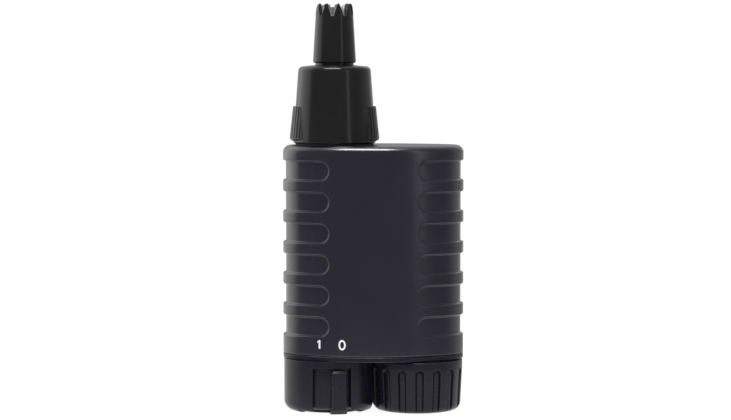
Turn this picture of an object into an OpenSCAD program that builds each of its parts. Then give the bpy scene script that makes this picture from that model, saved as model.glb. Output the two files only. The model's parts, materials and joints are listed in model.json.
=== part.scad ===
// Battery nose hair trimmer. Millimetres, +Z up, front towards -Y.
// Origin at the middle of the base, in the plane the trimmer stands on.

/* [Body] */
// Overall width of the oval body
body_w = 48; // [47:0.5:50]
// Overall depth of the oval body
body_d = 28; // [27.5:0.5:30]
// Radius of the oval's two narrow ends
end_r = 9.5; // [9:0.25:10.5]
// Wall of the body shell
wall = 1.8; // [1.4:0.1:2]
// Height of the shell above the base plate
shell_h = 55.3; // [55:0.5:60]
// Round on the shell's top edge
shell_round = 2; // [1:0.25:2.5]
// Fine round on mating edges
edge_round = 0.35; // [0.1:0.05:0.5]

/* [Grip] */
// Number of grip recesses on each side
grip_count = 6; // [3:1:6]
// Height of one recess
grip_h = 5.3; // [4:0.1:6]
// Spacing of the recesses
grip_pitch = 8.2; // [7:0.1:8.6]
// Depth of a recess
grip_depth = 0.75; // [0.4:0.05:0.9]
// Half width of the plain middle between the recesses
grip_gap = 11.5; // [9:0.5:14]
// Height of the lowest recess's middle above the shell's lower edge
grip_rise = 7.7; // [6:0.1:9]
// Slope of a recess's upper and lower sides
grip_slope = 0.3; // [0.1:0.05:0.6]

/* [Base] */
// Height of the base plate's lower face, and so of switch housing and cap
pod_h = 13.9; // [13.5:0.1:15]
// Thickness of the base plate
plate_t = 1.4; // [1.2:0.1:2]
// How far the plan circles of switch housing and battery cap overlap
pod_overlap = 1.6; // [1.2:0.1:1.8]
// How far the two stay inside the ends of the oval
pod_inset = 0.2; // [0:0.05:0.3]
// Bottom round of the switch housing
block_round = 2.7; // [2:0.1:3]
// Wall of the switch housing in front of the knob
block_wall = 0.9; // [0.8:0.05:1.1]
// Height of the rim that plugs into the shell
rim_h = 2; // [2:0.1:3]

/* [Switch] */
// Width of the thumb bar
bar_w = 4.3; // [3.6:0.1:4.4]
// How far the bar stands out of the housing
bar_out = 1; // [0.6:0.1:1.5]
// Height of the bar
bar_h = 11.6; // [9:0.1:11.8]
// Round on the bar's upright edges
bar_round = 1; // [0.4:0.1:1.4]
// Angle of the bar at rest, from the front towards +X
bar_angle = 11.8; // [10:0.1:12]
// Turn from off to on
switch_turn = 21; // [15:1:21]
// Height of the slot's top
slot_h = 12.2; // [12.1:0.1:12.3]
// Radius of the knob's shaft
knob_shaft_r = 2.5; // [2.2:0.1:3]

/* [Battery cap] */
// Number of flutes
flute_count = 16; // [10:1:20]
// Width of a flute
flute_w = 1.85; // [1:0.05:2.2]
// Depth of a flute
flute_depth = 0.7; // [0.3:0.05:0.8]
// Height of the flutes' top
flute_top = 11.7; // [10:0.1:12]
// Narrowing of the cap towards its bottom
cap_draft = 0.5; // [0:0.1:0.6]
// Bottom round of the cap
cap_round = 2.3; // [1.5:0.1:2.5]
// Thickness of the cap's floor
cap_floor = 2.4; // [2:0.1:2.6]
// Wall of the cap's skirt
cap_wall = 1.5; // [1.3:0.1:1.6]
// Lead of the cap's four-start thread
cap_lead = 16; // [14:1:18]

/* [Battery] */
// Radius of the AA cell
cell_r = 7.25; // [7:0.05:7.3]
// Length of the AA cell with its button
cell_len = 50.5; // [49.5:0.1:50.5]
// Height of the cell's lower end
cell_z = 8; // [7.8:0.1:8.5]

/* [Head] */
// Distance of the head's axis from the middle
head_x = 10.3; // [10:0.1:10.6]
// Radius of the collar at its base
collar_r = 11; // [10.8:0.1:11.4]
// Radius of the collar at its shoulder
collar_top_r = 9.55; // [9:0.05:10]
// Height of the collar
collar_h = 20.7; // [19.5:0.1:22]
// Round on the collar's shoulder
collar_round = 1.3; // [0.8:0.1:1.6]
// Rise of the collar's top towards the guard
collar_crown = 0.3; // [0:0.05:0.5]
// Height of the finger grips on the collar
wing_h = 9.1; // [7:0.1:10]
// How far the finger grips stand out at their foot
wing_out = 0.92; // [0.6:0.02:1]
// Half angle that a finger grip spans
wing_angle = 41; // [30:1:44]
// Number of ribs on one finger grip
wing_ribs = 13; // [7:1:15]
// Lead of the head's three-start thread
head_lead = 12; // [10:1:14]
// Radius of the threaded neck
neck_r = 7.9; // [7.7:0.1:8]
// Height of the threaded neck
neck_h = 8; // [7.5:0.1:8.5]

/* [Blades] */
// Radius of the guard at its base
guard_r = 5.7; // [5.5:0.1:6]
// Radius of the guard at the foot of its teeth
guard_top_r = 5; // [4.8:0.05:5.2]
// Radius of the guard at the tips of its teeth
guard_tip_r = 4.3; // [4.1:0.05:4.5]
// Height of the guard above its neck
guard_h = 15.7; // [14:0.1:18]
// Wall of the guard
guard_wall = 0.7; // [0.5:0.05:0.8]
// Number of teeth
tooth_count = 9; // [7:1:11]
// Depth of the notches between the teeth
tooth_h = 3.4; // [2.5:0.1:4]
// Width left at the tip of a tooth
tooth_land = 0.25; // [0.2:0.05:0.6]
// Thickness of the fixed blade
blade_t = 0.35; // [0.25:0.05:0.4]
// Number of wings on the turning blade
cutter_wings = 4; // [2:1:4]
// Radius of the blade's stem
stem_r = 1.5; // [1.3:0.1:1.6]

/* [Motor] */
// Radius of the motor can
motor_r = 7.7; // [7.4:0.1:7.7]
// Half distance between the can's flats
motor_flat = 6; // [5.6:0.1:6.2]
// Length of the motor can
motor_len = 20; // [18:0.5:21]
// Radius of the motor shaft
shaft_r = 1; // [0.75:0.05:1.1]

/* [Fits] */
// Gap between pieces that move past each other
clear = 0.3; // [0.3:0.05:0.4]
// Radial clearance of a shaft or drum in its bore
running = 0.08; // [0.05:0.01:0.1]
// Radial clearance of pieces that stay together
seat = 0.03; // [0.02:0.01:0.05]
// Gap between cap and neighbouring pieces
cap_gap = 0.35; // [0.3:0.05:0.4]
// Radial height of a thread ridge
ridge = 0.8; // [0.7:0.05:0.85]
// Axial thickness of a thread ridge
ridge_t = 1.2; // [1:0.1:1.3]

/* [Hidden] */

fine = 128;   // facets of the large rounds
mid = 64;     // facets of the middling rounds
small = 32;   // facets of the small rounds
eps = 0.01;   // overlap of one piece's own parts
thread_start = 7.3;   // angle at which the first ridge starts
big = 200;    // larger than the object

// oval body: two end arcs and two flank arcs that meet in tangents
end_c = body_w / 2 - end_r;
flank_c = (end_c * end_c - pow(body_d / 2 - end_r, 2)) / (body_d - 2 * end_r);
flank_r = body_d / 2 + flank_c;
tangent = atan2(flank_c, end_c);

// switch housing and battery cap, side by side across the width
pod_r = (body_w / 2 - pod_inset + pod_overlap / 2) / 2;
pod_x = pod_r - pod_overlap / 2;

// heights
plate_top = pod_h + plate_t;
shell_top = plate_top + shell_h;
deck_z = plate_top + rim_h;
deck_t = 1.5;
ceiling = shell_top - wall;

// neck, collar and thread
neck_top = shell_top + neck_h;
neck_wall = 1.4;
collar_z = shell_top + 0.4;
collar_top = collar_z + collar_h;
collar_bore = neck_r + ridge + clear;
web_z = neck_top + 1;
web_t = 1.5;
guard_z = collar_top + 0.6;
guard_neck_r = 5.1;
guard_top = guard_z + guard_h;
guard_bore = guard_neck_r - guard_wall;
blade_h = 9;

// motor, from the ceiling down
motor_top = ceiling - 2.8;
motor_z = motor_top - motor_len;
can_t = 0.7;
bearing_r = 3;
bearing_h = 1;
magnet_h = 12;
magnet_lift = 4;
core_h = 10;
core_lift = magnet_lift + 0.5;
shaft_lift = 1.3;
shaft_out = 5.5;

// spigot and cap
spigot_r = pod_r - cap_wall - ridge - clear;
spigot_bore = cell_r + 0.45;
spigot_z = 6;
cap_top = pod_h - clear;
cap_bore = pod_r - cap_wall;

// switch
knob_r = pod_r - block_wall - running;
knob_core = knob_r - 2.7;
knob_top = slot_h + 0.1;
knob_from = -36;
knob_to = 39;
slot_from = -4.5;
slot_to = 5.6;

// screws that clamp base and chassis to the shell, and the posts that take them
screw_r = 0.9;
screw_head_r = 1.8;
screw_len = 12;
post_r = 2.3;
post_h = 12;
post_rib = 1.4;
screw_y = body_d / 2 - wall - post_r - 0.6;

module oval(inset = 0) {
    r = end_r - inset;
    meet = end_c + r * cos(tangent);
    intersection() {
        translate([0, -flank_c]) circle(r = flank_r - inset, $fn = 4 * fine);
        translate([0, flank_c]) circle(r = flank_r - inset, $fn = 4 * fine);
        square([2 * meet, body_d], center = true);
    }
    for (side = [-1, 1])
        translate([side * end_c, 0]) circle(r = r, $fn = fine);
}

// sweeps a profile round the oval: x is measured outwards from the surface, y is the height
module sweep_oval() {
    for (turn = [0, 180])
        rotate(turn) {
            translate([end_c, 0]) rotate(-tangent)
                rotate_extrude(angle = 2 * tangent, $fn = fine) translate([end_r, 0]) children();
            translate([0, -flank_c]) rotate(tangent)
                rotate_extrude(angle = 180 - 2 * tangent, $fn = 4 * fine)
                    translate([flank_r, 0]) children();
        }
}

// what a round takes off an outer top corner at the profile's origin
module corner(r) {
    difference() {
        translate([-r, -r]) square(r + 1);
        translate([-r, -r]) circle(r = r, $fn = small);
    }
}

module ring(r_out, r_in, h, facets = mid) {
    difference() {
        cylinder(r = r_out, h = h, $fn = facets);
        translate([0, 0, -1]) cylinder(r = r_in, h = h + 2, $fn = facets);
    }
}

module sector(r_in, r_out, angle, steps = 4) {
    polygon([for (k = [0:steps]) r_out * [cos(angle * k / steps), sin(angle * k / steps)],
             for (k = [steps:-1:0]) r_in * [cos(angle * k / steps), sin(angle * k / steps)]]);
}

// a wedge of angles, measured from the front towards +X
module front_wedge(from, to, r, h) {
    rotate(from - 90)
        rotate_extrude(angle = to - from, $fn = mid) square([r, h]);
}

// right-hand multi-start thread ridges of height h
module thread(r_in, r_out, lead, starts, h, phase = 0) {
    for (k = [0:starts - 1])
        rotate(k * 360 / starts + phase + thread_start)
            linear_extrude(height = h, twist = -360 * h / lead, slices = 8)
                sector(r_in, r_out, 360 * ridge_t / lead);
}

// straight round rod from p to q
module rod(p, q, r) {
    d = q - p;
    translate(p) rotate([0, acos(d.z / norm(d)), atan2(d.y, d.x)])
        cylinder(r = r, h = norm(d), $fn = small);
}

// wire along corner points
module wire(points, r) {
    for (k = [0:len(points) - 2]) rod(points[k], points[k + 1], r);
    for (k = [1:len(points) - 2]) translate(points[k]) sphere(r = 1.15 * r, $fn = small);
}

// round wire wound from radius r0 to r1 over the height h
module coil(r0, r1, h, turns, wire_r, steps = 14, sides = 8) {
    n = turns * steps;
    rings = [for (i = [0:n]) let (t = i / n, a = 360 * turns * t, r = r0 + (r1 - r0) * t)
        [for (j = [0:sides - 1]) let (b = 360 * j / sides, q = r + wire_r * cos(b))
            [q * cos(a), q * sin(a), wire_r + (h - 2 * wire_r) * t + wire_r * sin(b)]]];
    points = [for (loop = rings) each loop];
    walls = [for (i = [0:n - 1], j = [0:sides - 1]) let (k = (j + 1) % sides)
        [i * sides + j, (i + 1) * sides + j, (i + 1) * sides + k, i * sides + k]];
    ends = [[for (j = [0:sides - 1]) j], [for (j = [sides - 1:-1:0]) n * sides + j]];
    polyhedron(points, concat(walls, ends), convexity = 8);
}

module at_head() { translate([-head_x, 0, 0]) children(); }
module at_switch() { translate([-pod_x, 0, 0]) children(); }
module at_cell() { translate([pod_x, 0, 0]) children(); }

module grip_windows() {
    for (side = [-1, 1], k = [0:grip_count - 1])
        translate([side * (grip_gap + grip_h / 2), grip_rise + k * grip_pitch]) {
            circle(r = grip_h / 2 + grip_slope, $fn = mid);
            translate([side < 0 ? -body_w : 0, -grip_h / 2 - grip_slope])
                square([body_w, grip_h + 2 * grip_slope]);
        }
}

module grip_grooves() {
    intersection() {
        for (k = [0:grip_count - 1])
            translate([0, 0, plate_top + grip_rise + k * grip_pitch])
                sweep_oval() polygon([
                    [-grip_depth, -grip_h / 2 + grip_slope], [1, -grip_h / 2 - grip_slope],
                    [1, grip_h / 2 + grip_slope], [-grip_depth, grip_h / 2 - grip_slope]]);
        translate([0, body_d, plate_top]) rotate([90, 0, 0])
            linear_extrude(2 * body_d) grip_windows();
    }
}

module body_shell() {
    rib_reach = body_d / 2 - wall / 2 - screw_y;
    color([0.13, 0.13, 0.16]) {
        difference() {
            translate([0, 0, plate_top]) linear_extrude(shell_h) oval();
            translate([0, 0, plate_top - 1]) linear_extrude(shell_h - wall + 1) oval(wall);
            translate([0, 0, shell_top]) sweep_oval() corner(shell_round);
            translate([0, 0, plate_top]) mirror([0, 0, 1]) sweep_oval() corner(edge_round);
            grip_grooves();
            at_head() translate([0, 0, ceiling - 1]) cylinder(r = shaft_r + 0.6, h = 20, $fn = small);
            at_head() translate([0, 0, ceiling + 0.6]) cylinder(r = 3.5, h = 20, $fn = mid);
        }
        at_head() {
            translate([0, 0, shell_top - eps]) ring(neck_r, neck_r - neck_wall, neck_h + eps, fine);
            translate([0, 0, shell_top + 3.4])
                thread(neck_r - 0.4, neck_r + ridge, head_lead, 3, 2.6);
        }
        for (side = [-1, 1])
            translate([0, side * screw_y, deck_z + deck_t]) difference() {
                union() {
                    cylinder(r = post_r, h = post_h, $fn = small);
                    translate([-post_rib / 2, side > 0 ? 0 : -rib_reach, 0])
                        cube([post_rib, rib_reach, post_h]);
                }
                translate([0, 0, -1])
                    cylinder(r = screw_r + seat, h = post_h - 0.8, $fn = small);
            }
    }
}

// block of the switch housing, less the scoop that clears the cap
module switch_block() {
    difference() {
        rotate_extrude($fn = fine) difference() {
            square([pod_r, pod_h + eps]);
            translate([pod_r - block_round, block_round]) difference() {
                translate([0, -block_round - 1]) square(block_round + 1);
                circle(r = block_round, $fn = mid);
            }
        }
        translate([2 * pod_x, 0, -1])
            cylinder(r = pod_r + cap_gap, h = pod_h + 1, $fn = fine);
    }
}

module switch_cavity() {
    top = knob_top + clear;
    translate([0, 0, -1]) cylinder(r = knob_core + running, h = top + 1, $fn = fine);
    translate([0, 0, -1])
        front_wedge(bar_angle + knob_from - switch_turn - 3, bar_angle + knob_to + 3,
                    knob_r + running, top + 1);
    translate([slot_from, -pod_r - 1, -1])
        cube([slot_to - slot_from, pod_r - 4, slot_h + 1]);
}

module base_housing() {
    color([0.14, 0.14, 0.17])
    difference() {
        union() {
            difference() {
                translate([0, 0, pod_h]) linear_extrude(plate_t) oval();
                translate([0, 0, plate_top]) sweep_oval() corner(edge_round);
                translate([0, 0, pod_h]) mirror([0, 0, 1]) sweep_oval() corner(edge_round);
            }
            translate([0, 0, plate_top - eps]) linear_extrude(rim_h + eps) difference() {
                oval(wall + 0.1);
                oval(wall + 1.3);
            }
            at_switch() switch_block();
            at_cell() translate([0, 0, spigot_z]) ring(spigot_r, spigot_bore, pod_h - spigot_z + eps, fine);
            at_cell() translate([0, 0, spigot_z + 1.2])
                thread(spigot_r - 0.4, spigot_r + ridge, cap_lead, 4, 2.6);
            for (side = [-1, 1])
                translate([0, side * screw_y, plate_top - eps])
                    cylinder(r = post_r, h = rim_h + eps, $fn = small);
        }
        translate([0, 0, plate_top + 0.7]) sweep_oval()
            translate([-wall - 0.8, 0]) square([0.8, 0.8]);
        at_switch() switch_cavity();
        at_switch() cylinder(r = knob_shaft_r + running, h = 20, $fn = mid);
        at_cell() cylinder(r = spigot_bore, h = 20, $fn = fine);
        at_cell() translate([-spigot_bore - 0.45, -1.6, 0]) cube([2, 3.2, 20]);
        for (side = [-1, 1]) translate([0, side * screw_y, 0]) {
            cylinder(r = screw_r + 0.2, h = 20, $fn = small);
            cylinder(r = screw_head_r + 0.2, h = pod_h + 1.4, $fn = small);
        }
    }
}

module base_gasket() {
    color([0.08, 0.08, 0.08])
    translate([0, 0, plate_top + 0.75]) linear_extrude(0.7) difference() {
        oval(wall + 0.02);
        oval(wall + 0.78);
    }
}

module base_screws() {
    color("silver")
    for (side = [-1, 1]) translate([0, side * screw_y, pod_h + 0.2]) difference() {
        union() {
            cylinder(r = screw_head_r, h = 1.2, $fn = small);
            cylinder(r = screw_r, h = screw_len, $fn = small);
        }
        for (turn = [0, 90]) rotate(turn)
            translate([-1.1, -0.25, -1]) cube([2.2, 0.5, 1.7]);
    }
}

module neck_gasket() {
    color([0.08, 0.08, 0.08])
    at_head() translate([0, 0, shell_top]) ring(collar_r - 0.6, neck_r + seat, collar_z - shell_top - 0.05, fine);
}

module cap_gasket() {
    color([0.08, 0.08, 0.08])
    at_cell() translate([0, 0, pod_h - 0.8]) ring(cap_bore - clear, spigot_r + seat, 0.8, fine);
}

module chassis() {
    tube_r = cell_r + 1.25;
    cradle_r = motor_r + 1.2;
    tube_top = cell_z + cell_len + 2;
    color([0.85, 0.85, 0.8])
    difference() {
        union() {
            translate([0, 0, deck_z]) linear_extrude(deck_t) oval(wall + 0.2);
            at_cell() translate([0, 0, deck_z]) cylinder(r = tube_r, h = tube_top - deck_z, $fn = fine);
            at_head() translate([0, 0, deck_z])
                cylinder(r = cradle_r, h = motor_z + 10 - deck_z, $fn = fine);
            translate([-head_x + motor_r, -0.6, deck_z])
                cube([head_x - motor_r + pod_x - cell_r - 0.2, 1.2, motor_z + 10 - deck_z]);
        }
        at_cell() translate([0, 0, deck_z - 1])
            cylinder(r = cell_r + 0.25, h = tube_top - deck_z - 0.2, $fn = fine);
        at_cell() translate([-spigot_bore - 0.45, -1.6, deck_z - 1]) cube([1.5, 3.2, 3]);
        at_head() {
            translate([0, 0, motor_z]) cylinder(r = motor_r + 0.2, h = 20, $fn = fine);
            translate([0, 0, deck_z + deck_t])
                cylinder(r = motor_r, h = motor_z - 1.5 - deck_z - deck_t, $fn = fine);
            translate([0, 0, motor_z - 5]) cylinder(r = motor_flat - 0.4, h = 20, $fn = mid);
            for (turn = [90, 210, 330]) rotate(turn)
                translate([4, -2.5, deck_z + deck_t + 3]) cube([10, 5, 14]);
        }
        at_head() translate([motor_r - 3, -4, motor_z - 6]) cube([8, 8, 3.5]);
        at_cell() translate([-3, -1.6, tube_top - 2]) cube([2, 3.2, 4]);
        for (side = [-1, 1]) translate([0, side * screw_y, 0])
            cylinder(r = screw_r + 0.2, h = 40, $fn = small);
        at_switch() translate([3.5, 3, deck_z - 1]) cube([1.8, 1.8, 4]);
    }
}

module motor_outline(grow = 0) {
    intersection() {
        circle(r = motor_r + grow, $fn = mid);
        square([40, 2 * (motor_flat + grow)], center = true);
    }
}

module motor_can() {
    color("silver")
    at_head() translate([0, 0, motor_z]) {
        difference() {
            linear_extrude(motor_len) motor_outline();
            translate([0, 0, -1]) linear_extrude(motor_len - can_t + 1) motor_outline(-can_t);
            cylinder(r = shaft_r + running, h = 40, $fn = small);
        }
        translate([0, 0, motor_len - eps]) ring(bearing_r, shaft_r + running, bearing_h, small);
    }
}

module motor_magnets() {
    color([0.25, 0.25, 0.28])
    at_head() translate([0, 0, motor_z + magnet_lift]) for (side = [0, 180]) rotate(side)
        linear_extrude(magnet_h) intersection() {
            difference() {
                motor_outline(-can_t - seat);
                circle(r = motor_flat - can_t - 0.1, $fn = mid);
            }
            translate([2.5, -10]) square([10, 20]);
        }
}

module motor_end_cap() {
    color([0.9, 0.88, 0.8])
    at_head() translate([0, 0, motor_z]) difference() {
        union() {
            linear_extrude(2) motor_outline(-can_t - seat);
            cylinder(r = bearing_r, h = 3, $fn = small);
        }
        translate([0, 0, 1]) cylinder(r = shaft_r + running, h = 10, $fn = small);
        for (side = [-1, 1]) translate([side * 4 - 0.3, -1.05, -1]) cube([0.6, 2.1, 10]);
    }
}

module motor_terminals() {
    color("goldenrod")
    at_head() for (side = [-1, 1])
        translate([side * 4 - 0.25, -1, motor_z - 3]) cube([0.5, 2, 5.6]);
}

module motor_shaft() {
    color("silver")
    at_head() translate([0, 0, motor_z + shaft_lift])
        cylinder(r = shaft_r, h = shell_top + shaft_out - motor_z - shaft_lift, $fn = small);
}

module armature() {
    color([0.7, 0.4, 0.2])
    at_head() translate([0, 0, motor_z + core_lift]) difference() {
        union() {
            for (turn = [0, 120, 240]) rotate(turn) linear_extrude(core_h) {
                intersection() {
                    circle(r = motor_flat - can_t - 0.4, $fn = mid);
                    translate([3.4, -2.9]) square([3, 5.8]);
                }
                translate([0, -0.9]) square([3.6, 1.8]);
            }
            cylinder(r = 2, h = core_h + 1.5, $fn = small);
        }
        translate([0, 0, -1]) cylinder(r = shaft_r + seat, h = 20, $fn = small);
    }
}

module drive_coupler() {
    color([0.9, 0.9, 0.9])
    at_head() translate([0, 0, shell_top + 2]) difference() {
        union() {
            cylinder(r = 2.1, h = 4.2, $fn = 6);
            translate([0, 0, -0.6]) cylinder(r = 2.4, h = 0.8, $fn = small);
        }
        translate([0, 0, -1]) cylinder(r = shaft_r + seat, h = 4.5, $fn = small);
    }
}

module shaft_seal() {
    color([0.1, 0.1, 0.1])
    at_head() translate([0, 0, ceiling + 0.6]) difference() {
        cylinder(r = 3.5 - seat, h = wall - 0.6, $fn = mid);
        translate([0, 0, -1]) cylinder(r = shaft_r + running, h = 9, $fn = small);
        translate([0, 0, 0.5]) ring(2.6, 1.6, 9, small);
    }
}

module aa_cell() {
    color("seagreen")
    at_cell() translate([0, 0, cell_z]) {
        rotate_extrude($fn = mid) polygon([[0, 0.25], [4.5, 0.25], [4.7, 0], [cell_r - 0.5, 0],
            [cell_r, 0.5], [cell_r, cell_len - 1.8], [cell_r - 0.6, cell_len - 1.2],
            [2.75, cell_len - 1.2], [2.6, cell_len], [0, cell_len]]);
    }
}

module positive_contact() {
    color("gold")
    at_cell() translate([0, 0, cell_z + cell_len]) {
        translate([0, 0, 0.4]) cylinder(r = 4.5, h = 0.4, $fn = mid);
        translate([0, 0, 0.05]) cylinder(r = 1.5, h = 0.4, $fn = small);
        translate([-2.2, -1.5, 0.5]) cube([0.4, 3, 3.4]);
    }
}

module negative_strip() {
    strip = 0.3;
    x = -spigot_bore - 0.4;
    color("gold")
    at_cell() {
        translate([x, -1.5, spigot_z - strip]) cube([strip, 3, deck_z - 0.1 - spigot_z]);
        translate([x - 1, -1.5, spigot_z - strip]) cube([1 + strip, 3, strip - 0.02]);
        translate([-pod_x - 4.5, -1.5, deck_z - 0.4]) cube([pod_x + 4.5 + x + strip, 3, strip]);
    }
}

module switch_contact() {
    color("gold")
    at_switch() {
        translate([3.8, 3.1, deck_z - 0.4]) cube([2.6, 2.8, 0.3]);
        translate([4.1, 3.3, deck_z - 0.2]) cube([0.4, 1.2, 4]);
    }
}

module motor_leads() {
    lane = [0.8, 2.6];
    over = cell_z + cell_len + 3.4;
    under = motor_z - 4.3;
    terminal = [-head_x + 4.9, 0.4];
    color("firebrick") {
        wire([[pod_x - 2.8, 0.9, over], [each lane, over], [each lane, under],
              [each terminal, under], [each terminal, motor_z - 0.6]], 0.5);
        wire([[-pod_x + 5.1, 3.9, deck_z + 3], [-pod_x + 5.1, 3.9, deck_z + 8],
              [-head_x - 3, 1.6, motor_z - 7], [-head_x - 3, 0.4, motor_z - 0.6]], 0.5);
    }
}

module knob_segment() {
    bottom = block_wall + running;
    corner_r = block_round - bottom;
    intersection() {
        rotate_extrude($fn = fine) difference() {
            translate([knob_core - 3, bottom]) square([knob_r - knob_core + 3, knob_top - bottom]);
            translate([knob_r - corner_r, bottom + corner_r]) difference() {
                translate([0, -corner_r - 1]) square(corner_r + 1);
                circle(r = corner_r, $fn = mid);
            }
        }
        front_wedge(bar_angle + knob_from, bar_angle + knob_to, pod_r, 20);
    }
}

module thumb_bar() {
    reach = pod_r + bar_out;
    shoulder = 1;
    rotate(bar_angle) intersection() {
        linear_extrude(bar_h) {
            translate([-bar_w / 2, -reach + bar_round]) square([bar_w, reach]);
            translate([-bar_w / 2 + bar_round, -reach - 1]) square([bar_w - 2 * bar_round, reach]);
            for (side = [-1, 1]) translate([side * (bar_w / 2 - bar_round), -reach + bar_round])
                circle(r = bar_round, $fn = small);
        }
        rotate([90, 0, 0]) linear_extrude(reach + 1) {
            translate([-bar_w / 2, 0]) square([bar_w, bar_h - shoulder]);
            translate([-bar_w / 2 + shoulder, 0]) square([bar_w - 2 * shoulder, bar_h]);
            for (side = [-1, 1]) translate([side * (bar_w / 2 - shoulder), bar_h - shoulder])
                circle(r = shoulder, $fn = small);
        }
        rotate_extrude($fn = fine) polygon([[knob_core + 0.5, 0.1], [reach - 1.2, 0.1],
            [reach, 1.3], [reach, bar_h - 0.6], [reach - 0.6, bar_h], [knob_core + 0.5, bar_h]]);
    }
}

module switch_knob() {
    shaft_top = plate_top + 0.6;
    color([0.17, 0.17, 0.2])
    at_switch() difference() {
        union() {
            translate([0, 0, 0.1]) cylinder(r = knob_core, h = knob_top - 0.1, $fn = fine);
            knob_segment();
            thumb_bar();
            cylinder(r = knob_shaft_r, h = shaft_top, $fn = mid);
        }
        translate([0, 0, 1.8]) difference() {
            cylinder(r = knob_core - 1.3, h = 20, $fn = mid);
            cylinder(r = knob_shaft_r + 1.3, h = knob_top - 1.8 - 0.6, $fn = mid);
            cylinder(r = knob_shaft_r, h = 20, $fn = mid);
        }
        translate([0, 0, pod_h - 0.5]) ring(4, knob_shaft_r - 0.9, 1, mid);
        translate([0, 0, shaft_top - 4]) cylinder(r = 0.8, h = 5, $fn = small);
        translate([0, 0, -1]) cylinder(r = 4, h = 1.6, $fn = mid);
    }
}

module switch_oring() {
    color([0.08, 0.08, 0.08])
    at_switch() translate([0, 0, pod_h]) rotate_extrude($fn = mid)
        translate([knob_shaft_r - 0.42, 0]) circle(r = 0.45, $fn = small);
}

module switch_wiper() {
    z = plate_top + 0.62;
    color("gold")
    at_switch() difference() {
        union() {
            translate([0, 0, z]) cylinder(r = 3.2, h = 0.3, $fn = small);
            rotate(-42) translate([0, -0.9, z]) cube([6.6, 1.8, 0.3]);
            rotate(-42) translate([5.4, -0.9, z]) cube([1.2, 1.8, 0.7]);
        }
        translate([0, 0, z - 1]) cylinder(r = 0.8, h = 5, $fn = small);
    }
}

module switch_screw() {
    z = plate_top + 0.95;
    color("silver")
    at_switch() difference() {
        union() {
            translate([0, 0, z]) cylinder(r = 1.5, h = 0.8, $fn = small);
            translate([0, 0, z - 3.5]) cylinder(r = 0.75, h = 3.6, $fn = small);
        }
        translate([-0.9, -0.2, z + 0.4]) cube([1.8, 0.4, 1]);
    }
}

module cap_body() {
    low_r = pod_r - cap_draft;
    rotate_extrude($fn = fine) difference() {
        polygon([[0, 0], [low_r, 0], [low_r, cap_round], [pod_r, flute_top],
                 [pod_r, cap_top - 0.2], [pod_r - 0.2, cap_top], [0, cap_top]]);
        translate([low_r - cap_round, cap_round]) difference() {
            translate([0, -cap_round - 1]) square(cap_round + 1);
            circle(r = cap_round, $fn = mid);
        }
    }
}

module flute() {
    translate([0, -pod_r + flute_depth, flute_top])
        rotate([atan(cap_draft / (flute_top - cap_round)), 0, 0]) rotate([90, 0, 0])
            linear_extrude(3) {
                translate([0, -flute_w / 2]) circle(r = flute_w / 2, $fn = small);
                translate([-flute_w / 2, -20]) square([flute_w, 20 - flute_w / 2]);
            }
}

module battery_cap() {
    first = 4.65;
    color([0.15, 0.15, 0.18])
    at_cell() {
        difference() {
            cap_body();
            translate([0, 0, cap_floor]) cylinder(r = cap_bore, h = 20, $fn = fine);
            for (k = [0:flute_count - 1]) rotate(first + k * 360 / flute_count) flute();
            translate([0, 0, -1]) cylinder(r = 6, h = 1.4, $fn = mid);
        }
        translate([0, 0, spigot_z + 1.2])
            thread(cap_bore - ridge, cap_bore + 0.4, cap_lead, 4, 2.6,
                   -360 * (ridge_t + clear) / cap_lead);
    }
}

module contact_plate() {
    color("gainsboro")
    at_cell() translate([0, 0, cap_floor]) {
        cylinder(r = spigot_r - 0.4, h = 0.4, $fn = mid);
        ring(spigot_r - 0.4, spigot_r - 0.9, spigot_z - 0.4 - cap_floor, mid);
    }
}

module contact_spring() {
    color("gainsboro")
    at_cell() translate([0, 0, cap_floor + 0.43])
        coil(5.4, 2.6, cell_z + 0.2 - cap_floor - 0.43, 3.5, 0.4);
}

module collar_outline() {
    slope = (collar_r - collar_top_r) / collar_h;
    shoulder = collar_h - collar_crown;
    difference() {
        polygon([[0, 0], [collar_r - 0.4, 0], [collar_r, 0.4], [collar_top_r, shoulder],
                 [collar_top_r - collar_round, shoulder], [guard_neck_r + 0.5, collar_h], [0, collar_h]]);
        translate([collar_top_r + slope * collar_round - collar_round, shoulder - collar_round])
            difference() {
                square(collar_round + 1);
                circle(r = collar_round, $fn = mid);
            }
    }
}

// raised pads that fade out at their ends, each cut into ribs
module finger_grips() {
    foot = 0.7;
    lean = (collar_r - collar_top_r) / collar_h;
    reach = collar_r + wing_out;
    // axis distance of the smaller circle that passes through the pad's middle and ends
    off = (reach * reach - collar_r * collar_r) / (2 * (reach - collar_r * cos(wing_angle)));
    top_r = collar_r - lean * wing_h + 0.7 * wing_out;
    for (side = [0, 180]) rotate(side) difference() {
        translate([off, 0, foot]) rotate(-90) rotate_extrude(angle = 180, $fn = fine) polygon([
            [0, 0], [reach - off - 0.5, 0], [reach - off, 0.5], [top_r - off, wing_h], [0, wing_h]]);
        translate([0, 0, -1]) cylinder(r = collar_bore + 0.6, h = 20, $fn = fine);
        for (k = [1:wing_ribs - 1])
            rotate(-wing_angle + 2 * wing_angle * k / wing_ribs)
                translate([collar_r - 0.2, 0, foot + 0.7])
                    rotate([0, -atan(lean), 0]) translate([0, -0.22, 0]) cube([3, 0.44, 20]);
    }
}

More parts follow.
